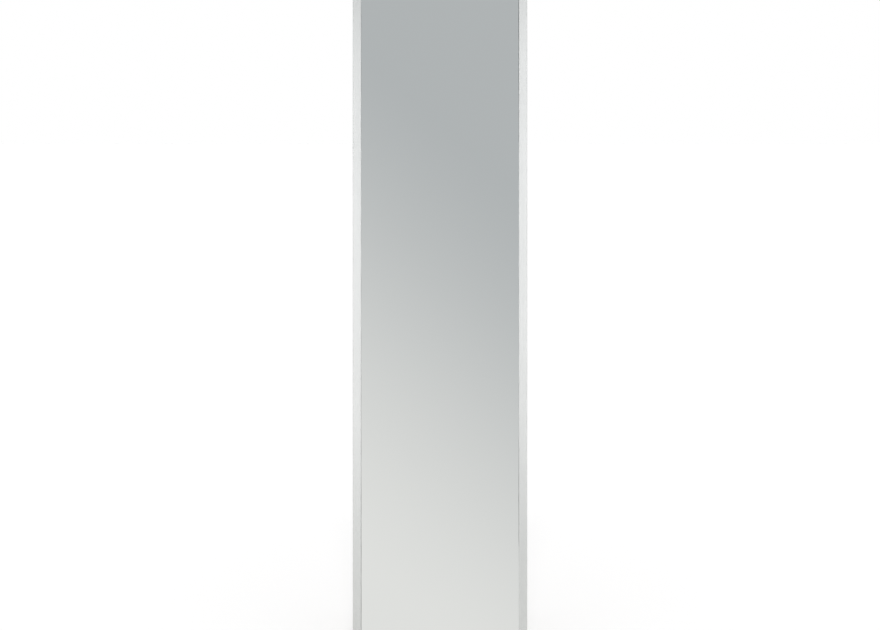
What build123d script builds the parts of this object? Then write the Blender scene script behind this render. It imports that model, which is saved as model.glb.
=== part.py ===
from build123d import *
import os
from math import cos, radians, sin, sqrt

# A tall, narrow floor mirror. A slim frame of mitred aluminium extrusion holds the silvered glass and its
# back board. The mirror leans back on two rubber feet and on a U-bent tube stand, which is hinged to
# brackets on the stiles and folds flat behind the frame.
#
# Sizes are millimetres and degrees. Three frames of reference are used.
# Panel: X across, Y into the mirror's depth from its front face, Z up along the glass from its bottom edge.
# Stand: origin on the hinge axis, X along it, Z up along the legs.
# Floor: the object's own frame, Z up, origin in the middle of its footprint.

# Overall sizes of the framed mirror, and how it stands
mirror_width = 400.0
mirror_height = 1600.0
lean_angle = 9.0
stand_angle = 18.0

# Frame extrusion: a lip in front of the glass, and a slotted channel behind it
face_width = 19.0
wall = 1.5
rib_thickness = 1.2
channel_depth = 6.3
slot_width = 6.5
outer_edge_radius = 1.0
lip_edge_radius = 0.4
mitre_gap = 0.2

# What lies behind the lip, from the front
tape_thickness = 0.8
tape_width = 8.0
tape_reveal = 0.4
glass_thickness = 4.0
glass_arris = 0.5
foam_thickness = 1.0
board_thickness = 3.0
edge_play = 1.5
block_length = 30.0
block_inset = 90.0

# Bowed leaf springs between the back board and the frame's rib
clip_gap = 4.7
clip_thickness = 0.5
clip_chord = 44.0
clip_width = 12.0
clip_showing = 2.0
clip_seat_gap = 0.05
stile_clip_count = 4
rail_clip_count = 1

# L-shaped keys, their shims and grub screws, which hold the mitred corners together
key_leg = 45.0
key_thickness = 3.0
key_corner_radius = 2.0
shim_thickness = 1.0
shim_shortfall = 4.0
channel_play = 0.2
key_screw_radius = 2.0
key_screw_from_end = 10.0
key_screw_pitch = 15.0
key_screw_sunk = 0.6
key_screws_per_leg = 2
driver_slot_width = 0.8
driver_slot_depth = 1.2
fixed_fit = 0.05

# Stand tube
tube_radius = 7.0
tube_wall = 1.2
tube_bend_radius = 40.0
heel_length = 22.0
heel_gap = 0.3

# Hinge brackets, and the screws and plates that fix them to the stiles
pivot_height = 1000.0
bracket_sheet = 1.5
bracket_length = 96.0
bracket_corner_radius = 4.0
bracket_bend_radius = 2.2
ear_length = 46.0
ear_radius = 9.5
hinge_screw_spacing = 74.0
hinge_screw_radius = 2.0
hinge_screw_hole_play = 0.25
hinge_screw_head_radius = 4.0
hinge_screw_head_height = 2.6
hinge_screw_past_plate = 1.2
cross_recess_length = 4.2
cross_recess_width = 0.9
cross_recess_depth = 1.4
nut_plate_length = 90.0
nut_plate_thickness = 3.0

# Pivot hardware
bolt_radius = 3.0
bolt_head_radius = 5.2
bolt_head_height = 3.2
bolt_head_edge = 1.6
bolt_head_margin = 0.8
bolt_socket_radius = 2.3
bolt_socket_depth = 1.9
bolt_tail = 1.4
running_fit = 0.08
bush_wall = 1.0
bush_length = 5.0
bush_flange_thickness = 0.8
bush_flange_width = 2.0
side_play = 0.2
washer_radius = 6.2
washer_thickness = 1.2
nut_across_flats = 10.0
nut_hex_height = 4.6
nut_collar_height = 1.6
nut_collar_radius = 4.4

# End plugs of the tube
plug_head = 2.0
plug_body = 9.0
plug_edge_radius = 0.5
plug_fit = 0.05

# Rubber feet
front_foot_length = 40.0
front_foot_thickness = 3.0
front_foot_setback = 2.0
front_foot_corner_radius = 3.0
front_foot_from_key = 15.0
stem_radius = 2.2
stem_bulb_radius = 3.0
stem_bulb_height = 2.4
rear_foot_length = 40.0
rear_foot_from_bend = 8.0
sleeve_wall = 2.5
sole_width = 15.0
sole_drop = 0.5
foot_edge_radius = 1.0

# Worked out from the sizes above: depths in the panel frame
glass_front = wall + tape_thickness
glass_back = glass_front + glass_thickness
foam_back = glass_back + foam_thickness
board_back = foam_back + board_thickness
rib_front = board_back + clip_gap
channel_floor = rib_front + rib_thickness
lip_seat = channel_floor + channel_depth
frame_depth = lip_seat + wall
channel_width = face_width - 2 * wall
slot_centre = face_width / 2

# Worked out: the hinge
bush_radius = bolt_radius + running_fit + bush_wall
bush_flange_radius = bush_radius + bush_flange_width
ear_inside = tube_radius + bush_flange_thickness + side_play
bracket_half_width = ear_inside + bracket_sheet
bracket_inset = bolt_head_height + bolt_head_margin
leg_x = mirror_width / 2 - bracket_inset - bracket_half_width
heel_reach = (
    (heel_length - plug_edge_radius) * sin(radians(stand_angle))
    + (tube_radius - plug_edge_radius) * cos(radians(stand_angle))
    + plug_edge_radius
)
pivot_offset = bracket_sheet + heel_gap + heel_reach
slot_from_leg = bracket_inset + bracket_half_width - slot_centre

# Worked out: where the panel and the stand are in the floor frame, before it is centred on the footprint
panel_lift = frame_depth * sin(radians(lean_angle)) + front_foot_thickness
panel_place = Pos(0, 0, panel_lift) * Rot(-lean_angle, 0, 0)
pivot_in_panel = Pos(0, frame_depth + pivot_offset, pivot_height)
pivot_point = (panel_place * pivot_in_panel).position
splay = radians(stand_angle - lean_angle)
sole_height = tube_radius + sleeve_wall + sole_drop
leg_length = (pivot_point.Z - sole_height) / cos(splay)
stand_place = panel_place * pivot_in_panel * Rot(stand_angle, 0, 0)
bar_y = pivot_point.Y + leg_length * sin(splay)

# The four sides of the frame. A side's own frame has X along it, Y into the depth and Z towards the glass.
left_side = Pos(-mirror_width / 2, 0, mirror_height / 2) * Rot(0, 90, 0)
right_side = Pos(mirror_width / 2, 0, mirror_height / 2) * Rot(0, -90, 0)
top_side = Pos(0, 0, mirror_height) * Rot(0, 180, 0)
bottom_side = Pos(0, 0, 0)
stile_sides = [left_side, right_side]
rail_sides = [top_side, bottom_side]


def rod_x(radius, start, end, y=0.0, z=0.0):
    """A cylinder along X."""
    rod = Cylinder(radius, end - start, align=(Align.CENTER, Align.CENTER, Align.MIN))
    return Pos(start, y, z) * Rot(0, 90, 0) * rod


def rod_y(radius, start, end, x=0.0, z=0.0):
    """A cylinder along Y."""
    rod = Cylinder(radius, end - start, align=(Align.CENTER, Align.CENTER, Align.MIN))
    return Pos(x, start, z) * Rot(-90, 0, 0) * rod


def block(x, y, z):
    """A box from pairs of limits."""
    size = Box(x[1] - x[0], y[1] - y[0], z[1] - z[0], align=(Align.MIN, Align.MIN, Align.MIN))
    return Pos(x[0], y[0], z[0]) * size


def mirrored(shape):
    """The same piece on the object's other side."""
    return mirror(shape, about=Plane.YZ)


def group(shapes):
    """Like pieces that share one node, each a solid of its own."""
    return Compound([solid for shape in shapes for solid in shape.solids()])


def rounded_at(face, points, radius):
    """The face with the corners nearest to these points rounded."""
    corners = [face.vertices().sort_by_distance((x, y, 0))[0] for x, y in points]
    return fillet(corners, radius)


def extrusion_section():
    """The frame's cross section, X into the depth and Y towards the glass."""
    slot_low = slot_centre - slot_width / 2
    slot_high = slot_centre + slot_width / 2
    outline = [
        (0, 0),
        (0, face_width),
        (wall, face_width),
        (wall, wall),
        (rib_front, wall),
        (rib_front, face_width),
        (frame_depth, face_width),
        (frame_depth, slot_high),
        (lip_seat, slot_high),
        (lip_seat, face_width - wall),
        (channel_floor, face_width - wall),
        (channel_floor, wall),
        (lip_seat, wall),
        (lip_seat, slot_low),
        (frame_depth, slot_low),
        (frame_depth, 0),
    ]
    section = make_face(Polyline(*outline, close=True))
    section = rounded_at(section, [(0, 0), (frame_depth, 0)], outer_edge_radius)
    return rounded_at(section, [(0, face_width), (frame_depth, face_width)], lip_edge_radius)


def frame_member(length):
    """One side of the frame, mitred at both ends, in the side's own frame."""
    start = Plane(origin=(-length / 2, 0, 0), x_dir=(0, 1, 0), z_dir=(1, 0, 0))
    bar = extrude(start * extrusion_section(), amount=length)
    half_gap = mitre_gap / sqrt(2)
    long_side = length / 2 - half_gap
    short_side = long_side - face_width
    trapezoid = Plane.XZ * make_face(
        Polyline(
            (-long_side, 0),
            (long_side, 0),
            (short_side, face_width),
            (-short_side, face_width),
            close=True,
        )
    )
    return bar & extrude(trapezoid, amount=-frame_depth)


def foot_stem_x():
    """How far from the middle the front feet are plugged into the bottom rail."""
    return mirror_width / 2 - key_leg - front_foot_from_key


def bottom_rail():
    rail = frame_member(mirror_width)
    depth = (channel_floor + lip_seat) / 2
    for x in (-foot_stem_x(), foot_stem_x()):
        hole = Cylinder(stem_radius + fixed_fit, 2 * wall)
        rail -= Pos(x, depth, wall / 2) * hole
    return rail


def glazing_tape():
    """Four strips of black foam tape between the lip and the glass. A sliver of each shows past the lip."""
    inner = face_width + tape_reveal
    outer = inner - tape_width
    lengths = {"stile": mirror_height - 2 * outer, "rail": mirror_width - 2 * inner}
    strips = []
    for sides, length in ((stile_sides, lengths["stile"]), (rail_sides, lengths["rail"])):
        strip = block((-length / 2, length / 2), (wall, glass_front), (outer, inner))
        strips += [side * strip for side in sides]
    return group(strips)


def sheet_in_frame(front, back):
    """A sheet that fills the frame, standing on the setting blocks."""
    side = wall + edge_play
    return block(
        (side - mirror_width / 2, mirror_width / 2 - side),
        (front, back),
        (side, mirror_height - side),
    )


def mirror_glass():
    glass = sheet_in_frame(glass_front, glass_back)
    long_edges = glass.edges().filter_by(Axis.Y, reverse=True)
    return chamfer(long_edges, glass_arris)


def setting_blocks():
    """Two pads between the bottom rail and the stack of sheets."""
    centre = mirror_width / 2 - block_inset
    pad = block(
        (centre - block_length / 2, centre + block_length / 2),
        (glass_front, board_back),
        (wall, wall + edge_play),
    )
    return group([pad, mirrored(pad)])


def spring_clip():
    """A bowed strip whose ends press on the back board and whose crown presses on the rib."""
    foot = board_back + clip_seat_gap
    crown = rib_front - clip_seat_gap
    rise = crown - clip_thickness - foot
    inner_radius = (clip_chord**2 / 4 + rise**2) / (2 * rise)
    spread = (inner_radius + clip_thickness) / inner_radius
    end = clip_chord / 2
    centre = foot + rise - inner_radius
    outer_end = (end * spread, centre + (foot - centre) * spread)
    band = make_face(
        [
            ThreePointArc((-end, foot), (0, foot + rise), (end, foot)),
            Line((end, foot), outer_end),
            ThreePointArc(outer_end, (0, crown), (-outer_end[0], outer_end[1])),
            Line((-outer_end[0], outer_end[1]), (-end, foot)),
        ]
    )
    inner_side = face_width + clip_showing
    strip = extrude(Plane.XY * band, amount=clip_width)
    return Pos(0, 0, inner_side - clip_width) * strip


def spring_clips():
    clip = spring_clip()
    rows = ((stile_sides, mirror_height, stile_clip_count), (rail_sides, mirror_width, rail_clip_count))
    placed = []
    for sides, length, count in rows:
        for i in range(count):
            along = (i + 0.5) * length / count - length / 2
            placed += [side * Pos(along, 0, 0) * clip for side in sides]
    return group(placed)


def corner_angle(leg, thickness, front):
    """A flat L in the rear channel of the frame's bottom left corner."""
    outer = wall + channel_play
    inner = face_width - wall - channel_play
    low = outer - mirror_width / 2
    high = inner - mirror_width / 2
    tip = leg - mirror_width / 2
    outline = make_face(
        Polyline((low, outer), (tip, outer), (tip, inner), (high, inner), (high, leg), (low, leg), close=True)
    )
    outline = rounded_at(outline, [(low, outer)], key_corner_radius)
    return Pos(0, front, 0) * extrude(Plane.XZ * outline, amount=-thickness)


def key_screw_points():
    """Where the grub screws are in the bottom left corner: both legs, from their free ends."""
    points = []
    for i in range(key_screws_per_leg):
        along = key_leg - key_screw_from_end - i * key_screw_pitch
        points.append((along - mirror_width / 2, slot_centre))
        points.append((slot_centre - mirror_width / 2, along))
    return points


def key_screw():
    """A grub screw, slotted at its rear end, that bears on the shim and pushes the key to the lips."""
    tip = channel_floor + shim_thickness
    end = frame_depth - key_screw_sunk
    screw = rod_y(key_screw_radius, tip, end)
    half = driver_slot_width / 2
    reach = key_screw_radius + fixed_fit
    return screw - block((-reach, reach), (end - driver_slot_depth, end), (-half, half))


def corner_key():
    key = corner_angle(key_leg, key_thickness, lip_seat - key_thickness)
    for x, z in key_screw_points():
        key -= rod_y(key_screw_radius + fixed_fit, channel_floor, frame_depth, x, z)
    return key


def in_all_corners(shape):
    """The bottom left corner's piece, and its three mirror images, bottom first and left first."""
    middle = Plane.XY.offset(mirror_height / 2)
    bottom = [shape, mirrored(shape)]
    return bottom + [mirror(piece, about=middle) for piece in bottom]


def corner_key_shims():
    shim = corner_angle(key_leg - shim_shortfall, shim_thickness, channel_floor)
    return group(in_all_corners(shim))


def corner_key_screws():
    screws = [Pos(x, 0, z) * key_screw() for x, z in key_screw_points()]
    return group(piece for screw in screws for piece in in_all_corners(screw))


# The right hinge is modelled in the panel frame's directions, with its origin where the leg's axis would
# meet the stile's rear face: X points outwards, Y backwards and Z up. The left hinge is its mirror image.
right_hinge = Pos(leg_x, frame_depth, pivot_height)


def hinge_bracket():
    """A pressed steel U: a base plate on the stile, and two ears that carry the pivot bolt."""
    reach = pivot_offset + ear_radius
    width = 2 * bracket_half_width
    outside = Pos(0, reach / 2) * Rectangle(width, reach)
    outside = rounded_at(
        outside, [(-bracket_half_width, 0), (bracket_half_width, 0)], bracket_bend_radius
    )
    inside = Pos(0, bracket_sheet + reach / 2) * Rectangle(2 * ear_inside, reach)
    channel = extrude(Plane.XY * (outside - inside), amount=bracket_length / 2, both=True)
    base = Pos(bracket_sheet / 2, 0) * Rectangle(bracket_sheet, bracket_length)
    ear_foot = Pos(bracket_sheet / 2, 0) * Rectangle(bracket_sheet, ear_length)
    ear_top = Pos(pivot_offset, 0) * Circle(ear_radius)
    ear = make_hull([*ear_foot.edges(), *ear_top.edges()])
    side_view = extrude(Plane.YZ * (base + ear), amount=bracket_half_width, both=True)
    plate_view = Plane.XZ * RectangleRounded(width, bracket_length, bracket_corner_radius)
    bracket = channel & side_view & extrude(plate_view, amount=-reach)
    bracket -= rod_x(bolt_radius + fixed_fit, -bracket_half_width, bracket_half_width, pivot_offset)
    for z in (-hinge_screw_spacing / 2, hinge_screw_spacing / 2):
        hole = hinge_screw_radius + hinge_screw_hole_play
        bracket -= rod_y(hole, 0, bracket_sheet, slot_from_leg, z)
    return right_hinge * bracket


def hinge_screw():
    """A pan head machine screw with a cross recess, its head towards the rear."""
    seat = bracket_sheet
    top = seat + hinge_screw_head_height
    tip = -wall - nut_plate_thickness - hinge_screw_past_plate
    head = rod_y(hinge_screw_head_radius, seat, top)
    rim = head.edges().filter_by(GeomType.CIRCLE).sort_by(Axis.Y)[-1]
    screw = fillet(rim, hinge_screw_head_height / 2) + rod_y(hinge_screw_radius, tip, seat)
    half_width = cross_recess_width / 2
    half_length = cross_recess_length / 2
    depth = (top - cross_recess_depth, top)
    screw -= block((-half_length, half_length), depth, (-half_width, half_width))
    return screw - block((-half_width, half_width), depth, (-half_length, half_length))


def hinge_screws():
    screw = hinge_screw()
    half = hinge_screw_spacing / 2
    right = [right_hinge * Pos(slot_from_leg, 0, z) * screw for z in (-half, half)]
    return group(right + [mirrored(piece) for piece in right])


def nut_plate():
    """A threaded plate that the hinge screws pull up against the lips of the stile's channel."""
    half_width = channel_width / 2 - channel_play
    back = -wall
    front = back - nut_plate_thickness
    half_length = nut_plate_length / 2
    plate = block((-half_width, half_width), (front, back), (-half_length, half_length))
    for z in (-hinge_screw_spacing / 2, hinge_screw_spacing / 2):
        plate -= rod_y(hinge_screw_radius + fixed_fit, front, back, 0, z)
    return right_hinge * Pos(slot_from_leg, 0, 0) * plate


def pivot_bolt():
    """A button head bolt from the outside, through both ears and the tube's bushes."""
    end = -bracket_half_width - washer_thickness - nut_hex_height - nut_collar_height - bolt_tail
    shank = rod_x(bolt_radius, end, bracket_half_width)
    top = bracket_half_width + bolt_head_height
    head = rod_x(bolt_head_radius, bracket_half_width, top)
    rim = head.edges().filter_by(GeomType.CIRCLE).sort_by(Axis.X)[-1]
    head = fillet(rim, bolt_head_edge)
    socket = extrude(Plane.YZ.offset(top) * RegularPolygon(bolt_socket_radius, 6), amount=-bolt_socket_depth)
    return right_hinge * Pos(0, pivot_offset, 0) * (shank + head - socket)


def pivot_washers():
    outer = rod_x(washer_radius, -bracket_half_width - washer_thickness, -bracket_half_width)
    hole = rod_x(bolt_radius + fixed_fit, -bracket_half_width - washer_thickness, -bracket_half_width)
    washer = right_hinge * Pos(0, pivot_offset, 0) * (outer - hole)
    return group([washer, mirrored(washer)])


def pivot_nut():
    """A lock nut on the inner ear's washer: a hexagon with the round collar that grips the bolt."""
    seat = -bracket_half_width - washer_thickness
    hexagon = RegularPolygon(nut_across_flats / 2, 6, major_radius=False)
    body = extrude(Plane.YZ.offset(seat) * hexagon, amount=-nut_hex_height)
    collar_end = seat - nut_hex_height - nut_collar_height
    collar = rod_x(nut_collar_radius, collar_end, seat - nut_hex_height)
    nut = body + collar - rod_x(bolt_radius + fixed_fit, collar_end, seat)
    return right_hinge * Pos(0, pivot_offset, 0) * nut


def floor_line(depth):
    """The height of the floor in the panel frame, at this depth."""
    return (depth * sin(radians(lean_angle)) - panel_lift) / cos(radians(lean_angle))


def front_foot():
    """A rubber wedge under the bottom rail, plugged into its channel. Its sole is flat on the floor."""
    near = front_foot_setback
    far = frame_depth - front_foot_setback
    side_view = make_face(
        Polyline((near, 0), (far, 0), (far, floor_line(far)), (near, floor_line(near)), close=True)
    )
    wedge = extrude(Plane.YZ * side_view, amount=front_foot_length / 2, both=True)
    wedge = fillet(wedge.edges().filter_by(Axis.Z), front_foot_corner_radius)
    depth = (channel_floor + lip_seat) / 2
    upright = (Align.CENTER, Align.CENTER, Align.MIN)
    stem = Pos(0, depth, 0) * Cylinder(stem_radius, wall, align=upright)
    bulb = Pos(0, depth, wall) * Cylinder(stem_bulb_radius, stem_bulb_height, align=upright)
    return Pos(foot_stem_x(), 0, 0) * (wedge + stem + bulb)


def stand_tube():
    """One length of steel tube, bent into a U, drilled for the bushes near its ends."""
    top = heel_length - plug_head
    path = FilletPolyline(
        (-leg_x, 0, top),
        (-leg_x, 0, -leg_length),
        (leg_x, 0, -leg_length),
        (leg_x, 0, top),
        radius=tube_bend_radius,
    )
    ring = Circle(tube_radius) - Circle(tube_radius - tube_wall)
    tube = sweep(Plane(origin=path @ 0, z_dir=path % 0) * ring, path=path)
    for x in (-leg_x, leg_x):
        tube -= rod_x(bush_radius + fixed_fit, x - tube_radius, x + tube_radius)
    return tube


def pivot_bushes():
    """A flanged bush in each side of both legs."""
    flange = rod_x(bush_flange_radius, tube_radius, tube_radius + bush_flange_thickness)
    sleeve = rod_x(bush_radius, tube_radius - bush_length, tube_radius)
    bore = rod_x(bolt_radius + running_fit, 0, 2 * tube_radius)
    bush = flange + sleeve - bore
    outer_bush = Pos(leg_x, 0, 0) * bush
    inner_bush = Pos(leg_x, 0, 0) * mirrored(bush)
    return group([outer_bush, inner_bush, mirrored(outer_bush), mirrored(inner_bush)])


def end_plug():
    """A plastic plug in a leg's top end. Its rim is the heel that stops the opened stand."""
    upright = (Align.CENTER, Align.CENTER, Align.MIN)
    head = Pos(0, 0, heel_length - plug_head) * Cylinder(tube_radius, plug_head, align=upright)
    head = fillet(head.edges().sort_by(Axis.Z)[-1], plug_edge_radius)
    body_radius = tube_radius - tube_wall - plug_fit
    body = Pos(0, 0, heel_length - plug_head - plug_body) * Cylinder(body_radius, plug_body, align=upright)
    return Pos(leg_x, 0, 0) * (head + body)


def rear_foot():
    """A rubber saddle round the stand's bottom bar with a flat sole, in the floor frame."""
    sleeve = Circle(tube_radius + sleeve_wall)
    sole = Pos(0, -sole_height / 2) * Rectangle(sole_width, sole_height)
    side_view = sleeve + sole
    saddle = extrude(Plane.YZ * side_view, amount=rear_foot_length / 2, both=True)
    rims = saddle.edges().filter_by(Axis.X, reverse=True)
    saddle = chamfer(rims, foot_edge_radius)
    saddle -= rod_x(tube_radius + fixed_fit, -rear_foot_length / 2, rear_foot_length / 2)
    centre = leg_x - tube_bend_radius - rear_foot_from_bend - rear_foot_length / 2
    return Pos(centre, bar_y, sole_height) * saddle


def pieces_of_the_mirror():
    """Everything that is fixed to the framed mirror, in the panel frame."""
    key_names = ("bottom_left", "bottom_right", "top_left", "top_right")
    keys = {f"corner_key_{name}": key for name, key in zip(key_names, in_all_corners(corner_key()))}
    pairs = {
        "hinge_bracket": hinge_bracket(),
        "nut_plate": nut_plate(),
        "pivot_bolt": pivot_bolt(),
        "pivot_nut": pivot_nut(),
        "front_foot": front_foot(),
    }
    stile = frame_member(mirror_height)
    return {
        "left_stile": left_side * stile,
        "right_stile": right_side * stile,
        "top_rail": top_side * frame_member(mirror_width),
        "bottom_rail": bottom_side * bottom_rail(),
        **keys,
        "corner_key_shims": corner_key_shims(),
        "corner_key_screws": corner_key_screws(),
        "glazing_tape": glazing_tape(),
        "mirror_glass": mirror_glass(),
        "foam_sheet": sheet_in_frame(glass_back, foam_back),
        "back_board": sheet_in_frame(foam_back, board_back),
        "setting_blocks": setting_blocks(),
        "spring_clips": spring_clips(),
        "hinge_screws": hinge_screws(),
        "pivot_washers": pivot_washers(),
        **{f"{name}_right": piece for name, piece in pairs.items()},
        **{f"{name}_left": mirrored(piece) for name, piece in pairs.items()},
    }


def pieces_of_the_stand():
    """What turns with the stand, in the stand frame."""
    return {
        "stand_tube": stand_tube(),
        "pivot_bushes": pivot_bushes(),
        "end_plug_right": end_plug(),
        "end_plug_left": mirrored(end_plug()),
    }


def assembled():
    """Every piece in the floor frame, with the stand open."""
    pieces = {name: panel_place * piece for name, piece in pieces_of_the_mirror().items()}
    pieces.update({name: stand_place * piece for name, piece in pieces_of_the_stand().items()})
    pieces["rear_foot_right"] = rear_foot()
    pieces["rear_foot_left"] = mirrored(rear_foot())
    return pieces


pieces = assembled()
footprint = Compound([solid for piece in pieces.values() for solid in piece.solids()]).bounding_box()
centring = Pos(0, -(footprint.min.Y + footprint.max.Y) / 2, 0)

os.makedirs("parts", exist_ok=True)
for name, piece in pieces.items():
    export_step(centring * piece, f"parts/{name}.step")

pivot = (centring * Pos(*pivot_point)).position
print("pieces", len(pieces), "overall", footprint.size)
print("hinge axis", pivot, "leg length", leg_length, "bar", bar_y + centring.position.Y)
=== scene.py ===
from math import cos, pi, radians, sin
from random import Random

import bmesh
import bpy
from mathutils import Matrix, Vector


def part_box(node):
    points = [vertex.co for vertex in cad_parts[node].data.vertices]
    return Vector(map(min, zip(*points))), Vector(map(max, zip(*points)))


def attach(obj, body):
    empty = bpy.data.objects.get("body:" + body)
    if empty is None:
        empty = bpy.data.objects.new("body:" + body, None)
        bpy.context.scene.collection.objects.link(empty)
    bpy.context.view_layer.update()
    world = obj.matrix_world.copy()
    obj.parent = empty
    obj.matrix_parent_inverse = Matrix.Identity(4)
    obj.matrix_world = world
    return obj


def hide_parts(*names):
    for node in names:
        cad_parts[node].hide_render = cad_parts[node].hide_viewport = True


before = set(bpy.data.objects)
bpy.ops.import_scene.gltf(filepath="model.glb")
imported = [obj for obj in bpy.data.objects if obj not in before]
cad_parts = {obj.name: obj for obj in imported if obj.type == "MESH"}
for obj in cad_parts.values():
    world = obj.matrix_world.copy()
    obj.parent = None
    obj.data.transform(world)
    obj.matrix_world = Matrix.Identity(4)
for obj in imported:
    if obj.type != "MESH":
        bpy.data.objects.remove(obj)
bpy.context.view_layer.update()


# The frame's four sides
# Slim aluminium extrusion with a flat face, clear anodised to a satin silver. The four lengths are mitred
# at the corners. The die leaves faint lines along each length, and handling polishes the edges.

lean = radians(9)
z_on_to_x = (0.0, pi / 2, 0.0)


def place(tree, kind, sockets=None, **settings):
    """A shader node with its settings. Its sockets get plain values, or wires from other sockets."""
    made = tree.nodes.new(kind)
    for name, value in settings.items():
        setattr(made, name, value)
    for key, value in (sockets or {}).items():
        if isinstance(value, bpy.types.NodeSocket):
            tree.links.new(value, made.inputs[key])
        else:
            made.inputs[key].default_value = value
    return made


def math(tree, operation, *values):
    """The result of a Math node."""
    return place(tree, "ShaderNodeMath", dict(enumerate(values)), operation=operation).outputs[0]


def either(tree, first, second):
    """The larger of two values."""
    return math(tree, "MAXIMUM", first, second)


def times(tree, first, second):
    return math(tree, "MULTIPLY", first, second)


def plus(tree, value, share, base):
    """A value times a share, added to a base."""
    return math(tree, "MULTIPLY_ADD", value, share, base)


def ramp(tree, value, low, high):
    """A smooth rise from 0 to 1 as a value goes from low to high."""
    sockets = {"Value": value, "From Min": low, "From Max": high}
    return place(tree, "ShaderNodeMapRange", sockets, interpolation_type="SMOOTHSTEP").outputs["Result"]


def blended(tree, share, first, second):
    """Two colours mixed by a share from 0 to 1."""
    sockets = {"Factor": share, "A": first, "B": second}
    return place(tree, "ShaderNodeMix", sockets, data_type="RGBA").outputs["Result"]


def noise(tree, vector, scale, detail=3.0, roughness=0.5):
    sockets = {"Vector": vector, "Scale": scale, "Detail": detail, "Roughness": roughness}
    return place(tree, "ShaderNodeTexNoise", sockets).outputs["Fac"]


def turned(tree, vector, angles):
    sockets = {"Vector": vector, "Rotation": angles}
    return place(tree, "ShaderNodeVectorRotate", sockets, rotation_type="EULER_XYZ").outputs["Vector"]


def stretched(tree, vector, scale):
    return place(tree, "ShaderNodeVectorMath", {0: vector, 1: scale}, operation="MULTIPLY").outputs["Vector"]


def dot(tree, first, second):
    """The dot product of two vectors."""
    sockets = {0: first, 1: second}
    return place(tree, "ShaderNodeVectorMath", sockets, operation="DOT_PRODUCT").outputs["Value"]


def axes(tree, vector):
    """A vector's X, Y and Z."""
    return place(tree, "ShaderNodeSeparateXYZ", {"Vector": vector}).outputs


def effect(name, inputs, outputs):
    """An empty shader node group with named sockets: the group, its inputs and its end node."""
    group = bpy.data.node_groups.new(name, "ShaderNodeTree")
    for socket, default in inputs.items():
        kind = "NodeSocketVector" if default is None else "NodeSocketFloat"
        made = group.interface.new_socket(socket, in_out="INPUT", socket_type=kind)
        if default is not None:
            made.default_value = default
    for socket in outputs:
        group.interface.new_socket(socket, in_out="OUTPUT", socket_type="NodeSocketFloat")
    start = group.nodes.new("NodeGroupInput")
    end = group.nodes.new("NodeGroupOutput")
    return group, start.outputs, end


def use(tree, group, sockets):
    """The outputs of a shader node group, placed with its own values."""
    return place(tree, "ShaderNodeGroup", sockets, node_tree=group).outputs


def edge_wear():
    """A mask of the edges that hands and cloths have rubbed, broken up by noise."""
    group, given, end = effect("edge wear", {"Vector": None, "Width": 0.0005, "Breakup": 300.0}, ["Mask"])
    rounded = place(group, "ShaderNodeBevel", {"Radius": given["Width"]}, samples=4).outputs["Normal"]
    true = place(group, "ShaderNodeNewGeometry").outputs["Normal"]
    edge = ramp(group, dot(group, rounded, true), 0.995, 0.8)
    patchy = ramp(group, noise(group, given["Vector"], given["Breakup"]), 0.3, 0.62)
    group.links.new(times(group, edge, patchy), end.inputs["Mask"])
    return group


def drawn_lines():
    """Fine lines along X, as a die, a roll or a belt leaves them: a height, and a mask of the deeper ones."""
    group, given, end = effect("drawn lines", {"Vector": None, "Pitch": 0.0006}, ["Height", "Mask"])
    across = math(group, "DIVIDE", 1.0, given["Pitch"])
    along = math(group, "DIVIDE", across, 400.0)
    stretch = place(group, "ShaderNodeCombineXYZ", {"X": along, "Y": across, "Z": across}).outputs["Vector"]
    lines = noise(group, stretched(group, given["Vector"], stretch), 1.0, 3.0, 0.6)
    group.links.new(lines, end.inputs["Height"])
    group.links.new(ramp(group, lines, 0.5, 0.66), end.inputs["Mask"])
    return group


def scratches():
    """Thin scratches that run in three directions, in short lengths."""
    group, given, end = effect("scratches", {"Vector": None, "Scale": 30.0, "Amount": 0.5}, ["Mask"])
    found = []
    for angles in ((0.3, 0.5, 0.4), (1.1, -0.6, 2.2), (-0.8, 1.3, 1.2)):
        line = stretched(group, turned(group, given["Vector"], angles), (1.0, 40.0, 40.0))
        found.append(ramp(group, noise(group, line, given["Scale"], 1.0), 0.765, 0.79))
    lines = either(group, found[0], either(group, found[1], found[2]))
    patch = ramp(group, noise(group, given["Vector"], 9.0), 0.45, 0.6)
    rare = times(group, patch, given["Amount"])
    group.links.new(times(group, lines, rare), end.inputs["Mask"])
    return group


worn_edges = edge_wear()
drawn = drawn_lines()
scratched = scratches()


def finish(name):
    """An empty material, its Principled shader, and the object's own coordinates."""
    made = bpy.data.materials.new(name)
    made.use_nodes = True
    tree = made.node_tree
    return made, tree, tree.nodes["Principled BSDF"], place(tree, "ShaderNodeTexCoord").outputs["Object"]


def upright(tree, vector):
    """A vector turned back as the leaning mirror would stand straight up: Z runs along its sides."""
    sockets = {"Vector": vector, "Angle": lean}
    return place(tree, "ShaderNodeVectorRotate", sockets, rotation_type="X_AXIS").outputs["Vector"]


def wire(tree, shader, **wires):
    """Wires into the shader, by socket name with underscores for spaces."""
    for name, socket in wires.items():
        tree.links.new(socket, shader.inputs[name.replace("_", " ")])


def relief(tree, shader, height, distance, rounding=0.0003):
    """A bump on a surface whose sharp edges catch light as if rounded."""
    soft = place(tree, "ShaderNodeBevel", {"Radius": rounding}, samples=4).outputs["Normal"]
    bump = place(tree, "ShaderNodeBump", {"Distance": distance, "Height": height, "Normal": soft})
    wire(tree, shader, Normal=bump.outputs["Normal"])


def give(names, made):
    """The material on CAD pieces, by name."""
    for name in names:
        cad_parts[name].material_slots[0].material = made


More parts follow.
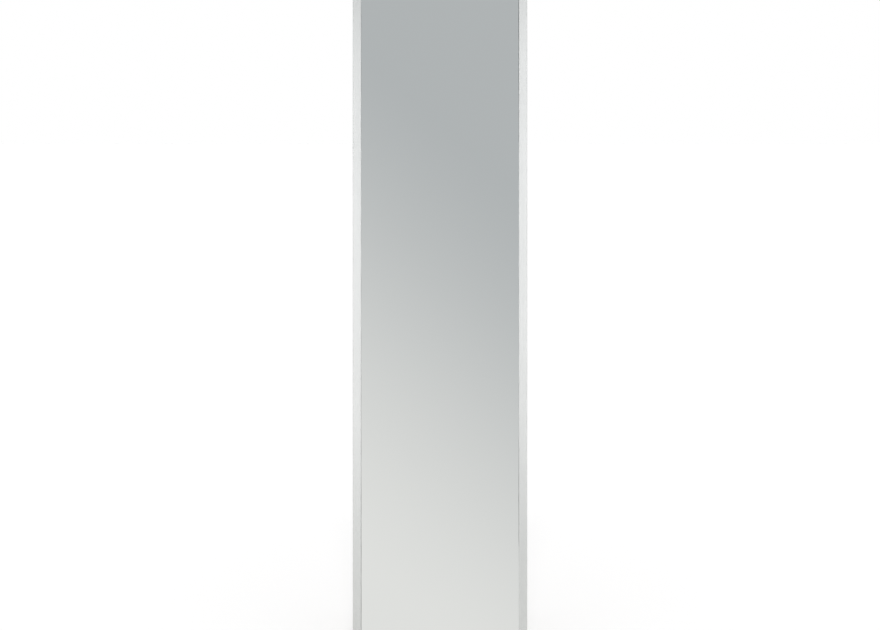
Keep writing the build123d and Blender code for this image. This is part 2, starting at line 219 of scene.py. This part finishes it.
def anodised(name, turn):
    """Satin anodised aluminium. The turn brings the length's own direction on to X."""
    made, tree, shader, own = finish(name)
    panel = upright(tree, own)
    along = turned(tree, panel, turn)
    lines = use(tree, drawn, {"Vector": along, "Pitch": 0.0005})
    streaks = use(tree, drawn, {"Vector": along, "Pitch": 0.0022})["Height"]
    wear = use(tree, worn_edges, {"Vector": panel, "Width": 0.0006, "Breakup": 120.0})["Mask"]
    marks = use(tree, scratched, {"Vector": panel, "Scale": 26.0, "Amount": 0.5})["Mask"]
    cloud = noise(tree, panel, 7.0)
    etch = noise(tree, panel, 5200.0, 2.0)
    base = blended(tree, cloud, (0.745, 0.747, 0.746, 1.0), (0.788, 0.789, 0.785, 1.0))
    base = blended(tree, times(tree, lines["Mask"], 0.12), base, (0.5, 0.51, 0.52, 1.0))
    base = blended(tree, times(tree, wear, 0.5), base, (0.9, 0.905, 0.91, 1.0))
    rough = plus(tree, etch, 0.06, 0.16)
    rough = plus(tree, lines["Height"], 0.05, rough)
    rough = plus(tree, streaks, 0.04, rough)
    rough = plus(tree, cloud, 0.04, rough)
    rough = plus(tree, wear, -0.1, rough)
    rough = plus(tree, marks, -0.12, rough)
    wire(tree, shader, Base_Color=base, Roughness=rough)
    shader.inputs["Metallic"].default_value = 1.0
    height = plus(tree, etch, 0.15, times(tree, lines["Height"], 0.85))
    height = plus(tree, marks, -0.5, height)
    relief(tree, shader, height, 0.000014, 0.0004)
    return made


give(["left_stile", "right_stile"], anodised("anodised upright", z_on_to_x))
give(["top_rail", "bottom_rail"], anodised("anodised crosspiece", (0.0, 0.0, 0.0)))


# The corner keys, their shims and grub screws
# Stamped L plates in bright zinc plate sit in the rear channel of each corner. Slotted grub screws bear on
# a thin blued steel shim and force each key against the channel's lips, which locks the mitre.


def zinc(name, tone):
    """Bright zinc plate: a cool metal with soft clouds, faint rolling lines and duller patches."""
    made, tree, shader, own = finish(name)
    panel = upright(tree, own)
    lines = use(tree, drawn, {"Vector": turned(tree, panel, z_on_to_x), "Pitch": 0.0005})
    wear = use(tree, worn_edges, {"Vector": panel, "Width": 0.0004, "Breakup": 260.0})["Mask"]
    marks = use(tree, scratched, {"Vector": panel, "Scale": 34.0, "Amount": 1.0})["Mask"]
    cloud = noise(tree, panel, 60.0, 4.0, 0.6)
    bloom = ramp(tree, noise(tree, panel, 180.0, 5.0, 0.7), 0.55, 0.75)
    dark = (0.78 * tone, 0.83 * tone, 0.87 * tone, 1.0)
    light = (0.96 * tone, tone, 1.01 * tone, 1.0)
    base = blended(tree, cloud, dark, light)
    base = blended(tree, times(tree, bloom, 0.35), base, (0.58, 0.6, 0.62, 1.0))
    base = blended(tree, times(tree, lines["Mask"], 0.15), base, (0.45, 0.47, 0.49, 1.0))
    base = blended(tree, times(tree, wear, 0.6), base, (0.84, 0.85, 0.86, 1.0))
    rough = plus(tree, cloud, 0.16, 0.2)
    rough = plus(tree, bloom, 0.22, rough)
    rough = plus(tree, marks, 0.2, rough)
    wire(tree, shader, Base_Color=base, Roughness=rough)
    shader.inputs["Metallic"].default_value = 1.0
    height = plus(tree, lines["Height"], 0.5, times(tree, cloud, 0.5))
    height = plus(tree, marks, -0.4, height)
    relief(tree, shader, height, 0.00002)
    return made


def blued(name):
    """Tempered spring steel: blue-black, brown where the heat was less, and bright at rubbed edges."""
    made, tree, shader, own = finish(name)
    panel = upright(tree, own)
    lines = use(tree, drawn, {"Vector": panel, "Pitch": 0.0004})
    wear = use(tree, worn_edges, {"Vector": panel, "Width": 0.0002, "Breakup": 400.0})["Mask"]
    heat = noise(tree, panel, 45.0, 3.0)
    base = blended(tree, ramp(tree, heat, 0.35, 0.7), (0.045, 0.055, 0.085, 1.0), (0.11, 0.095, 0.09, 1.0))
    base = blended(tree, times(tree, lines["Mask"], 0.3), base, (0.16, 0.17, 0.19, 1.0))
    base = blended(tree, wear, base, (0.5, 0.5, 0.5, 1.0))
    wire(tree, shader, Base_Color=base, Roughness=plus(tree, lines["Height"], 0.2, 0.25))
    shader.inputs["Metallic"].default_value = 0.9
    relief(tree, shader, lines["Height"], 0.00001, 0.0001)
    return made


zinc_plate = zinc("bright zinc plate", 0.74)
blued_steel = blued("blued spring steel")
plated_screw = zinc("plated screw steel", 0.66)
corners = ["top_left", "top_right", "bottom_left", "bottom_right"]
give([f"corner_key_{corner}" for corner in corners], zinc_plate)
give(["corner_key_shims"], blued_steel)
give(["corner_key_screws"], plated_screw)


# The mirror
# One sheet of 4 mm float glass, silvered and painted on its back, with ground edges. From the front it is
# a clean mirror with the faintest roller wave, a trace of dust, and a haze where a cloth has dried.


def specks():
    """Dust: small round specks, thinly spread."""
    group, given, end = effect("specks", {"Vector": None, "Scale": 400.0, "Share": 0.06}, ["Mask"])
    cells = place(group, "ShaderNodeTexVoronoi", {"Vector": given["Vector"], "Scale": given["Scale"]})
    near = ramp(group, cells.outputs["Distance"], 0.2, 0.08)
    pick = place(group, "ShaderNodeSeparateColor", {"Color": cells.outputs["Color"]}).outputs["Red"]
    chosen = math(group, "LESS_THAN", pick, given["Share"])
    group.links.new(times(group, near, chosen), end.inputs["Mask"])
    return group


dusty = specks()


def silvered(name):
    """Mirror on the front face, green ground glass at the edges, grey backing paint behind."""
    made, tree, shader, own = finish(name)
    panel = upright(tree, own)
    facing = place(tree, "ShaderNodeTexCoord").outputs["Normal"]
    depth = axes(tree, upright(tree, facing))["Y"]
    front = math(tree, "LESS_THAN", depth, -0.9)
    back = math(tree, "GREATER_THAN", depth, 0.9)
    dust = use(tree, dusty, {"Vector": panel, "Scale": 420.0, "Share": 0.012})["Mask"]
    wiped = stretched(tree, turned(tree, panel, (0.0, 0.5, 0.0)), (3.0, 3.0, 14.0))
    smear = ramp(tree, noise(tree, wiped, 1.0), 0.55, 0.8)
    edge = blended(tree, noise(tree, panel, 900.0), (0.2, 0.42, 0.35, 1.0), (0.45, 0.66, 0.58, 1.0))
    paint = blended(tree, noise(tree, panel, 500.0), (0.2, 0.21, 0.22, 1.0), (0.27, 0.28, 0.29, 1.0))
    silver = blended(tree, noise(tree, panel, 3.0), (0.93, 0.932, 0.934, 1.0), (0.936, 0.938, 0.94, 1.0))
    base = blended(tree, front, blended(tree, back, edge, paint), silver)
    clean = plus(tree, smear, 0.012, 0.012)
    clean = plus(tree, dust, 0.15, clean)
    ground = plus(tree, back, 0.3, 0.3)
    rough = place(tree, "ShaderNodeMix", {"Factor": front, "A": ground, "B": clean}).outputs["Result"]
    wire(tree, shader, Base_Color=base, Roughness=rough, Metallic=front)
    wave = noise(tree, stretched(tree, panel, (2.0, 2.0, 5.0)), 1.0, 1.0)
    bump = place(tree, "ShaderNodeBump", {"Distance": 0.00004, "Height": wave})
    wire(tree, shader, Normal=bump.outputs["Normal"])
    return made


give(["mirror_glass"], silvered("silvered glass"))


# The glazing tape
# Black foam tape between the glass and the lip, stuck down by hand in four runs with a small gap at each
# corner. How far its inner edge shows past the lip is listed height by height. The fine dark line this lays
# beside the lip, in some places and not in others, stands in for the lip's shade and dark reflection: painted
# shade. The edge also wanders a little from station to station.

panel_origin = Vector((0.0, -0.17997, 0.006754))
across_panel = Vector((1.0, 0.0, 0.0))
into_panel = Vector((0.0, cos(lean), -sin(lean)))
up_panel = Vector((0.0, sin(lean), cos(lean)))
lip_from_middle = 0.181
lip_bottom = 0.019
lip_top = 1.581
lip_back = 0.0015
glass_front = 0.0023
tape_width = 0.008
tape_waves = ((0.00008, 0.41), (0.00005, 1.13), (0.00003, 2.7))
side_end_gap = 0.0004
rail_end_gap = 0.0012
# How far the tape shows past the top and bottom lips: a dark line that stands in for the lip's shade, painted
# shade.
rail_painted_shade_reveal = 0.0004


def in_panel(across, depth, up):
    """A point given across the mirror, into its depth and up its face, in the floor's frame."""
    return panel_origin + across_panel * across + into_panel * depth + up_panel * up


def reveal_at(up, stops):
    """How far the tape shows past the lip, between stops of height and reveal."""
    for (low, shown_low), (high, shown_high) in zip(stops, stops[1:]):
        if up <= high:
            return shown_low + (shown_high - shown_low) * max(0.0, up - low) / (high - low)
    return stops[-1][1]


def tape_section(shown):
    """The tape's outline across its width: distance past the lip, and depth. Its inner side bulges."""
    middle = (lip_back + glass_front) / 2
    squeeze = 0.00012
    shoulder = 0.0002
    bulge = 0.00005
    hidden = shown - tape_width
    front_half = [(shown - squeeze, lip_back), (shown, middle - shoulder), (shown + bulge, middle)]
    back_half = [(shown, middle + shoulder), (shown - squeeze, glass_front)]
    return [(hidden, lip_back)] + front_half + back_half + [(hidden, glass_front)]


def wander(count, phases):
    """How far the tape's inner edge strays at a station: the sum of waves, each with its reach and rate."""
    return sum(reach * sin(count * rate + phase) for (reach, rate), phase in zip(tape_waves, phases))


def tape_run(mesh_points, mesh_faces, spots, reveals, seed):
    """One run of tape. Each spot gives a section point's place from its distance past the lip and depth."""
    dice = Random(seed)
    phases = [dice.uniform(0.0, 2 * pi) for _ in tape_waves]
    first = len(mesh_points)
    size = len(tape_section(0.0))
    for count, (spot, shown) in enumerate(zip(spots, reveals)):
        section = tape_section(shown + wander(count, phases))
        mesh_points += [spot(past, depth) for past, depth in section]
    rings = [list(range(first + size * count, first + size * (count + 1))) for count in range(len(spots))]
    for ring, after in zip(rings, rings[1:]):
        for corner in range(size):
            following = (corner + 1) % size
            mesh_faces.append((ring[corner], ring[following], after[following], after[corner]))
    mesh_faces.append(tuple(reversed(rings[0])))
    mesh_faces.append(tuple(rings[-1]))


def side_spots(side, count=200):
    """Stations up one side, from the outer edge of the bottom run to that of the top run."""
    low = lip_bottom - tape_width + side_end_gap
    high = lip_top + tape_width - side_end_gap
    heights = [low + (high - low) * step / (count - 1) for step in range(count)]
    spots = [
        lambda past, depth, up=up: in_panel(side * (lip_from_middle - past), depth, up)
        for up in heights
    ]
    return heights, spots


def rail_spots(lip, inward, count=48):
    """Stations along the top or bottom, between the two side runs."""
    reach = lip_from_middle - rail_end_gap
    places = [-reach + 2 * reach * step / (count - 1) for step in range(count)]
    return [lambda past, depth, x=x: in_panel(x, depth, lip + inward * past) for x in places]


tape_points, tape_faces = [], []
# How far the tape shows past each side's lip, by height. The dark line it lays stands in for the lip's shade
# and dark reflection: painted shade.
left_painted_shade_reveal = [
    (0.0, 0.0006), (0.3, 0.0005), (0.48, 0.0003), (0.75, 0.0001),
    (1.1, 0.0), (1.35, 0.0002), (1.6, 0.0002),
]
right_painted_shade_reveal = [
    (0.0, -0.0001), (0.26, -0.0001), (0.29, 0.0005), (0.44, 0.0005), (0.52, 0.0001),
    (1.1, -0.0001), (1.22, 0.0003), (1.4, 0.0007), (1.6, 0.0008),
]
for side, stops, seed in ((-1, left_painted_shade_reveal, 3), (1, right_painted_shade_reveal, 8)):
    heights, spots = side_spots(side)
    tape_run(tape_points, tape_faces, spots, [reveal_at(up, stops) for up in heights], seed)
for lip, inward, seed in ((lip_bottom, 1, 5), (lip_top, -1, 12)):
    spots = rail_spots(lip, inward)
    tape_run(tape_points, tape_faces, spots, [rail_painted_shade_reveal] * len(spots), seed)

tape_mesh = bpy.data.meshes.new("foam_tape")
tape_mesh.from_pydata(tape_points, [], tape_faces)
tape_shape = bmesh.new()
tape_shape.from_mesh(tape_mesh)
bmesh.ops.recalc_face_normals(tape_shape, faces=tape_shape.faces)
tape_shape.to_mesh(tape_mesh)
tape_shape.free()
foam_tape = bpy.data.objects.new("foam_tape", tape_mesh)
bpy.context.scene.collection.objects.link(foam_tape)


def foam(name, colour, cell, distance):
    """Closed-cell foam or soft rubber: matt, with small cells and a slightly uneven tone."""
    made, tree, shader, own = finish(name)
    cells = place(tree, "ShaderNodeTexVoronoi", {"Vector": own, "Scale": 1.0 / cell}).outputs["Distance"]
    tone = noise(tree, own, 90.0)
    darker = tuple(0.7 * part for part in colour) + (1.0,)
    base = blended(tree, tone, darker, tuple(colour) + (1.0,))
    base = blended(tree, times(tree, ramp(tree, cells, 0.5, 0.1), 0.3), base, darker)
    wire(tree, shader, Base_Color=base)
    shader.inputs["Roughness"].default_value = 0.9
    relief(tree, shader, cells, distance, 0.0001)
    return made


tape_mesh.materials.append(foam("black foam tape", (0.02, 0.02, 0.021), 0.0005, 0.0001))
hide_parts("glazing_tape")
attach(foam_tape, "mirror_frame")


# The setting blocks and the liner
# Two rubber blocks under the glass carry its weight, and a thin sheet of white foam keeps the back board
# off the mirror's paint.

give(["setting_blocks"], foam("setting block rubber", (0.03, 0.03, 0.032), 0.0012, 0.00004))
give(["foam_sheet"], foam("white foam liner", (0.82, 0.83, 0.84), 0.0014, 0.0002))


# The back board
# A sheet of brown hardboard, rough side out: pressed wood fibre that carries the weave of the press's wire
# screen. It is sawn to size and drops in behind the foam.


def hardboard(name):
    """Short wood fibres lying every way over a mottled brown, under a fine woven imprint."""
    made, tree, shader, own = finish(name)
    panel = upright(tree, own)
    fibres = None
    for angles in ((0.0, 0.3, 0.0), (0.0, 1.2, 0.0), (0.0, 2.1, 0.0), (0.0, 2.8, 0.0)):
        strand = stretched(tree, turned(tree, panel, angles), (1.0, 1.0, 12.0))
        found = ramp(tree, noise(tree, strand, 260.0, 2.0, 0.6), 0.6, 0.7)
        fibres = found if fibres is None else either(tree, fibres, found)
    pulp = noise(tree, panel, 1100.0, 4.0, 0.7)
    cloud = noise(tree, panel, 5.0, 5.0, 0.6)
    bundles = ramp(tree, noise(tree, panel, 260.0, 2.0), 0.68, 0.78)
    parts = axes(tree, panel)
    screen_pitch = 0.0019
    rows = math(tree, "SINE", times(tree, parts["X"], 2 * pi / screen_pitch))
    columns = math(tree, "SINE", times(tree, parts["Z"], 2 * pi / screen_pitch))
    screen = plus(tree, times(tree, rows, columns), 0.5, 0.5)
    base = blended(tree, ramp(tree, pulp, 0.25, 0.75), (0.17, 0.1, 0.055, 1.0), (0.3, 0.187, 0.108, 1.0))
    base = blended(tree, times(tree, fibres, 0.3), base, (0.42, 0.285, 0.175, 1.0))
    base = blended(tree, times(tree, bundles, 0.4), base, (0.1, 0.055, 0.03, 1.0))
    base = blended(tree, times(tree, ramp(tree, cloud, 0.35, 0.7), 0.25), base, (0.17, 0.1, 0.055, 1.0))
    base = blended(tree, times(tree, ramp(tree, screen, 0.4, 0.0), 0.45), base, (0.09, 0.05, 0.026, 1.0))
    wire(tree, shader, Base_Color=base, Roughness=plus(tree, pulp, 0.25, 0.6))
    height = plus(tree, pulp, 0.3, times(tree, screen, 0.5))
    height = plus(tree, fibres, 0.2, height)
    relief(tree, shader, height, 0.0003)
    return made


give(["back_board"], hardboard("brown hardboard"))


# The spring clips
# Bowed strips of blued spring steel, pushed in between the board and the frame's rib all round. They hold
# the glass forward against its tape.

give(["spring_clips"], blued_steel)


# The hinge brackets, nut plates and their screws
# Each bracket is pressed from 1.5 mm steel sheet and zinc plated. Two pan head screws pull it on to the
# stile, into a threaded plate inside the rear channel.

give(["hinge_bracket_left", "hinge_bracket_right"], zinc_plate)
give(["nut_plate_left", "nut_plate_right"], zinc_plate)
give(["hinge_screws"], plated_screw)


# The pivot bolts, washers and lock nuts
# A button head bolt passes through both ears and the tube. Its head is turned, its tail is threaded, and
# the nut's round collar grips a nylon ring, so that it stays put while the stand turns.

pivot_depth = 0.0152417
pivot_height = 0.988322
collar_face_from_middle = 0.16975
insert_radius = 0.0038
tool_pitch = 0.00025


def pivot_steel(name, ring_radius):
    """Plated steel turned on the pivot's axis. A nylon ring shows where the collar faces the middle."""
    made, tree, shader, own = finish(name)
    parts = axes(tree, own)
    behind = math(tree, "SUBTRACT", parts["Y"], pivot_depth)
    above = math(tree, "SUBTRACT", parts["Z"], pivot_height)
    from_axis = place(tree, "ShaderNodeCombineXYZ", {"Y": behind, "Z": above}).outputs["Vector"]
    radius = place(tree, "ShaderNodeVectorMath", {0: from_axis}, operation="LENGTH").outputs["Value"]
    rings = math(tree, "SINE", times(tree, radius, 2 * pi / tool_pitch))
    cloud = noise(tree, own, 160.0, 4.0, 0.6)
    wear = use(tree, worn_edges, {"Vector": own, "Width": 0.0003, "Breakup": 500.0})["Mask"]
    base = blended(tree, cloud, (0.5, 0.53, 0.56, 1.0), (0.65, 0.67, 0.69, 1.0))
    base = blended(tree, times(tree, wear, 0.6), base, (0.82, 0.83, 0.84, 1.0))
    inward = math(tree, "LESS_THAN", math(tree, "ABSOLUTE", parts["X"]), collar_face_from_middle)
    ring = times(tree, inward, math(tree, "LESS_THAN", radius, ring_radius))
    base = blended(tree, ring, base, (0.75, 0.76, 0.74, 1.0))
    metal = math(tree, "SUBTRACT", 1.0, ring)
    wire(tree, shader, Base_Color=base, Metallic=metal)
    rough = plus(tree, cloud, 0.15, 0.2)
    wire(tree, shader, Roughness=plus(tree, ring, 0.2, rough))
    relief(tree, shader, plus(tree, rings, 0.3, cloud), 0.000008, 0.0002)
    return made


give(["pivot_bolt_left", "pivot_bolt_right"], pivot_steel("turned bolt steel", 0.0))
give(["pivot_nut_left", "pivot_nut_right"], pivot_steel("lock nut steel", insert_radius))
give(["pivot_washers"], zinc_plate)


# The stand
# One length of steel tube, bent into a U and drilled across near its ends for the pivot bushes. It is powder
# coated a metallic grey that matches the frame, with a fine orange peel, a sparkle of flake and a few rubs.

tube_radius = 0.007
tube_wall = 0.0012
bend_radius = 0.04
leg_from_middle = 0.1865
leg_above_pivot = 0.02
leg_below_pivot = 0.990517
pivot_hole_radius = 0.00413
beside_hole = 0.008
round_steps = 64
bend_steps = 24
hole_steps = 48
sharp_edge = radians(40)
pivot = Vector((0.0, pivot_depth, pivot_height))
up_leg = Vector((0.0, -sin(lean), cos(lean)))
off_plane = across_panel.cross(up_leg)


def stand_line():
    """The tube's centre line from end to end: each place and the way to the outside of the U there."""
    half = [(-leg_from_middle, up, -1.0, 0.0) for up in (leg_above_pivot, beside_hole, -beside_hole)]
    for step in range(bend_steps + 1):
        turn = pi / 2 * step / bend_steps
        x = bend_radius - leg_from_middle - bend_radius * cos(turn)
        up = bend_radius - leg_below_pivot - bend_radius * sin(turn)
        half.append((x, up, -cos(turn), -sin(turn)))
    other = [(-x, up, -out_x, out_up) for x, up, out_x, out_up in reversed(half)]
    return half + other


def bent_tube(name):
    """The tube with its bore, its open ends and its two pairs of cross holes."""
    line = stand_line()
    shape = bmesh.new()
    skins = []
    for radius in (tube_radius, tube_radius - tube_wall):
        rings = []
        for x, up, out_x, out_up in line:
            centre = pivot + across_panel * x + up_leg * up
            outward = across_panel * out_x + up_leg * out_up
            ring = []
            for step in range(round_steps):
                turn = 2 * pi * step / round_steps
                away = outward * cos(turn) + off_plane * sin(turn)
                ring.append(shape.verts.new(centre + away * radius))
            rings.append(ring)
        skins.append(rings)
    outer, inner = skins
    bands = list(zip(outer, outer[1:])) + list(zip(inner, inner[1:]))
    bands += [(outer[0], inner[0]), (outer[-1], inner[-1])]
    for ring, after in bands:
        for step in range(round_steps):
            following = (step + 1) % round_steps
            shape.faces.new((ring[step], ring[following], after[following], after[step]))
    bmesh.ops.recalc_face_normals(shape, faces=shape.faces)
    mesh = bpy.data.meshes.new(name)
    shape.to_mesh(mesh)
    shape.free()
    tube = bpy.data.objects.new(name, mesh)
    bpy.context.scene.collection.objects.link(tube)

    drill = bmesh.new()
    on_to_x = Matrix.Rotation(pi / 2, 4, "Y")
    for side in (-1, 1):
        hole = Matrix.Translation(pivot + across_panel * side * leg_from_middle) @ on_to_x
        bmesh.ops.create_cone(
            drill, cap_ends=True, segments=hole_steps, radius1=pivot_hole_radius, radius2=pivot_hole_radius,
            depth=4 * tube_radius, matrix=hole,
        )
    drill_mesh = bpy.data.meshes.new("drill")
    drill.to_mesh(drill_mesh)
    drill.free()
    cutter = bpy.data.objects.new("drill", drill_mesh)
    bpy.context.scene.collection.objects.link(cutter)
    cut = tube.modifiers.new("cross holes", "BOOLEAN")
    cut.operation = "DIFFERENCE"
    cut.solver = "EXACT"
    cut.object = cutter
    drilled = bpy.data.meshes.new_from_object(tube.evaluated_get(bpy.context.evaluated_depsgraph_get()))
    tube.modifiers.clear()
    tube.data = drilled
    drilled.name = name
    bpy.data.objects.remove(cutter)
    drilled.shade_smooth()
    drilled.set_sharp_from_angle(angle=sharp_edge)
    return tube


def powder_coat(name):
    """Silver-grey powder coat."""
    made, tree, shader, own = finish(name)
    peel = noise(tree, own, 620.0, 1.0)
    flake = place(tree, "ShaderNodeTexVoronoi", {"Vector": own, "Scale": 13000.0}).outputs["Color"]
    spark = ramp(tree, place(tree, "ShaderNodeSeparateColor", {"Color": flake}).outputs["Green"], 0.6, 1.0)
    cloud = noise(tree, own, 10.0)
    wear = use(tree, worn_edges, {"Vector": own, "Width": 0.0006, "Breakup": 300.0})["Mask"]
    marks = use(tree, scratched, {"Vector": own, "Scale": 30.0, "Amount": 0.9})["Mask"]
    base = blended(tree, spark, (0.42, 0.427, 0.435, 1.0), (0.54, 0.545, 0.55, 1.0))
    base = blended(tree, times(tree, cloud, 0.15), base, (0.38, 0.385, 0.395, 1.0))
    base = blended(tree, times(tree, marks, 0.5), base, (0.64, 0.645, 0.65, 1.0))
    base = blended(tree, times(tree, wear, 0.4), base, (0.7, 0.7, 0.7, 1.0))
    rough = plus(tree, spark, -0.1, 0.36)
    wire(tree, shader, Base_Color=base, Roughness=plus(tree, marks, 0.12, rough))
    shader.inputs["Metallic"].default_value = 0.6
    shader.inputs["Coat Weight"].default_value = 0.3
    shader.inputs["Coat Roughness"].default_value = 0.15
    relief(tree, shader, peel, 0.00007)
    return made


stand_tube = bent_tube("bent_tube")
stand_tube.data.materials.append(powder_coat("grey powder coat"))
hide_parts("stand_tube")
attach(stand_tube, "stand")


# The bushes and end plugs
# Flanged bushes of natural nylon line the tube's cross holes. A moulded plug closes each end, and its rim
# meets the bracket's base when the stand is open.


def moulded(name, colour, roughness, grain):
    """Moulded plastic or rubber with a fine eroded grain, rubbed smoother at its edges."""
    made, tree, shader, own = finish(name)
    pits = noise(tree, own, grain, 3.0, 0.6)
    tone = noise(tree, own, 60.0)
    wear = use(tree, worn_edges, {"Vector": own, "Width": 0.0004, "Breakup": 350.0})["Mask"]
    darker = tuple(0.8 * part for part in colour) + (1.0,)
    lighter = tuple(min(1.0, 1.4 * part + 0.015) for part in colour) + (1.0,)
    base = blended(tree, tone, darker, tuple(colour) + (1.0,))
    base = blended(tree, times(tree, wear, 0.35), base, lighter)
    rough = plus(tree, pits, 0.2, roughness - 0.1)
    wire(tree, shader, Base_Color=base, Roughness=plus(tree, wear, -0.15, rough))
    relief(tree, shader, pits, 0.00004)
    return made


give(["pivot_bushes"], moulded("natural nylon", (0.78, 0.76, 0.68), 0.42, 900.0))
give(["end_plug_left", "end_plug_right"], moulded("plug plastic", (0.03, 0.031, 0.033), 0.5, 1100.0))


# The feet
# Black moulded rubber. The front feet are wedges pushed into the bottom rail, and the rear feet are
# saddles pulled over the stand's bottom bar.

foot_rubber = moulded("foot rubber", (0.022, 0.022, 0.023), 0.72, 700.0)
feet = ["front_foot_left", "front_foot_right", "rear_foot_left", "rear_foot_right"]
give(feet, foot_rubber)


# The camera
# It looks straight at the middle of the leaning mirror, from 4 m away. At that distance the picture is
# picture_width metres wide.

mirror_low, mirror_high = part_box("mirror_glass")
mirror_centre = (mirror_low + mirror_high) / 2
picture_width = 2.0196
camera_distance = 4.0
camera_data = bpy.data.cameras.new("camera")
camera_data.sensor_width = 36.0
camera_data.lens = camera_data.sensor_width * camera_distance / picture_width
camera = bpy.data.objects.new("camera", camera_data)
camera.location = mirror_centre - into_panel * camera_distance
camera.rotation_euler = into_panel.to_track_quat("-Z", "Y").to_euler()
bpy.context.scene.collection.objects.link(camera)
bpy.context.scene.camera = camera


# The studio
# A white room: even light from all round, one soft sun from the front and one from behind. The metal and
# the mirror see broad slanting bands from mid grey to pale grey, and soft glowing panels.

pale_band = (0.785, 0.793, 0.771, 1.0)
mid_band = (0.461, 0.485, 0.49, 1.0)
white = (1.0, 1.0, 1.0, 1.0)


def studio_sky():
    """White behind the object, an even light on it, and the slanting bands for shiny surfaces."""
    world = bpy.data.worlds.new("studio")
    bpy.context.scene.world = world
    world.use_nodes = True
    tree = world.node_tree
    tree.nodes.clear()
    ray = place(tree, "ShaderNodeLightPath").outputs
    towards = place(tree, "ShaderNodeTexCoord").outputs["Generated"]
    sideways = 0.88
    band_shift = 0.218
    band_width = 0.392
    pale_until = 0.04
    mid_from = 0.327
    across = dot(tree, towards, Vector((sideways, up_panel.y, up_panel.z)))
    swing = math(tree, "PINGPONG", math(tree, "ADD", across, band_shift), band_width)
    fade = {"Value": swing, "From Min": pale_until, "From Max": mid_from}
    even = place(tree, "ShaderNodeMapRange", fade).outputs["Result"]
    share = plus(tree, even, 0.4, times(tree, ramp(tree, swing, pale_until, mid_from), 0.6))
    bands = blended(tree, share, pale_band, mid_band)
    colour = blended(tree, ray["Is Glossy Ray"], (0.8, 0.8, 0.8, 1.0), bands)
    colour = blended(tree, ray["Is Camera Ray"], colour, white)
    background = place(tree, "ShaderNodeBackground", {"Color": colour, "Strength": 1.0})
    end = place(tree, "ShaderNodeOutputWorld")
    tree.links.new(background.outputs["Background"], end.inputs["Surface"])


def sun(name, direction, energy, spread):
    """A soft sun that shiny surfaces don't show."""
    data = bpy.data.lights.new(name, "SUN")
    data.energy = energy
    data.angle = radians(spread)
    lamp = bpy.data.objects.new(name, data)
    lamp.rotation_euler = Vector(direction).to_track_quat("-Z", "Y").to_euler()
    lamp.visible_glossy = False
    bpy.context.scene.collection.objects.link(lamp)


def flat(name, half_width, half_height):
    """A flat sheet about its own centre, and an empty material on it."""
    around = ((-1, -1), (1, -1), (1, 1), (-1, 1))
    points = [(x * half_width, y * half_height, 0) for x, y in around]
    mesh = bpy.data.meshes.new(name)
    mesh.from_pydata(points, [], [(0, 1, 2, 3)])
    sheet = bpy.data.objects.new(name, mesh)
    made = bpy.data.materials.new(name)
    made.use_nodes = True
    made.node_tree.nodes.clear()
    mesh.materials.append(made)
    bpy.context.scene.collection.objects.link(sheet)
    return sheet, made.node_tree


def surface(tree, shader):
    end = place(tree, "ShaderNodeOutputMaterial")
    tree.links.new(shader.outputs[0], end.inputs["Surface"])


def glow(name, spot, size, strength):
    """A soft-edged glowing panel that faces the object. Only shiny surfaces see it."""
    half_width, half_height = size[0] / 2, size[1] / 2
    sheet, tree = flat(name, half_width, half_height)
    sheet.location = spot
    sheet.rotation_euler = (Vector(spot) - mirror_centre).to_track_quat("-Z", "Y").to_euler()
    on_sheet = place(tree, "ShaderNodeTexCoord").outputs["Object"]
    parts = axes(tree, stretched(tree, on_sheet, (1 / half_width, 1 / half_height, 0.0)))
    sides = ramp(tree, math(tree, "ABSOLUTE", parts["X"]), 1.0, 0.5)
    ends = ramp(tree, math(tree, "ABSOLUTE", parts["Y"]), 1.0, 0.6)
    light = place(tree, "ShaderNodeEmission", {"Color": white, "Strength": strength})
    clear = place(tree, "ShaderNodeBsdfTransparent")
    share = times(tree, sides, ends)
    surface(tree, place(tree, "ShaderNodeMixShader", {0: share, 1: clear.outputs[0], 2: light.outputs[0]}))
    sheet.visible_camera = False
    sheet.visible_diffuse = False
    sheet.visible_shadow = False
    sheet.visible_transmission = False


def floor():
    """A pale floor that stays white where nothing shades it. Its far part doesn't show in the mirror."""
    reach = 20.0
    mirrored_within = 1.6
    gone_beyond = 3.4
    _, tree = flat("floor", reach, reach)
    ray = place(tree, "ShaderNodeLightPath").outputs
    tone = blended(tree, ray["Is Glossy Ray"], (0.82, 0.82, 0.82, 1.0), (0.64, 0.645, 0.63, 1.0))
    matt = place(tree, "ShaderNodeBsdfDiffuse", {"Color": tone})
    own_tone = blended(tree, ray["Is Glossy Ray"], white, pale_band)
    own_light = place(tree, "ShaderNodeEmission", {"Color": own_tone})
    seen = either(tree, ray["Is Camera Ray"], ray["Is Glossy Ray"])
    own_share = times(tree, seen, 0.35)
    lift = place(tree, "ShaderNodeMixShader", {0: own_share, 1: matt.outputs[0], 2: own_light.outputs[0]})
    spot = place(tree, "ShaderNodeNewGeometry").outputs["Position"]
    away = place(tree, "ShaderNodeVectorMath", {0: spot}, operation="LENGTH").outputs["Value"]
    gone = times(tree, ramp(tree, away, mirrored_within, gone_beyond), ray["Is Glossy Ray"])
    clear = place(tree, "ShaderNodeBsdfTransparent")
    surface(tree, place(tree, "ShaderNodeMixShader", {0: gone, 1: lift.outputs[0], 2: clear.outputs[0]}))


studio_sky()
sun("front sun", (0.0, 0.62, -1.0), 0.95, 9.0)
sun("back sun", (-0.2, -0.8, -1.0), 0.8, 14.0)
glow("left glow", (-1.15, -4.4, 1.8), (1.3, 3.17), 2.4)
glow("right glow", (1.15, -4.4, 1.93), (1.3, 3.26), 2.45)
glow("rear left glow", (-2.6, 3.0, 1.7), (0.9, 2.6), 1.25)
glow("rear right glow", (2.8, 2.4, 1.5), (0.9, 2.4), 1.25)
floor()

bpy.context.scene.view_settings.view_transform = "Standard"
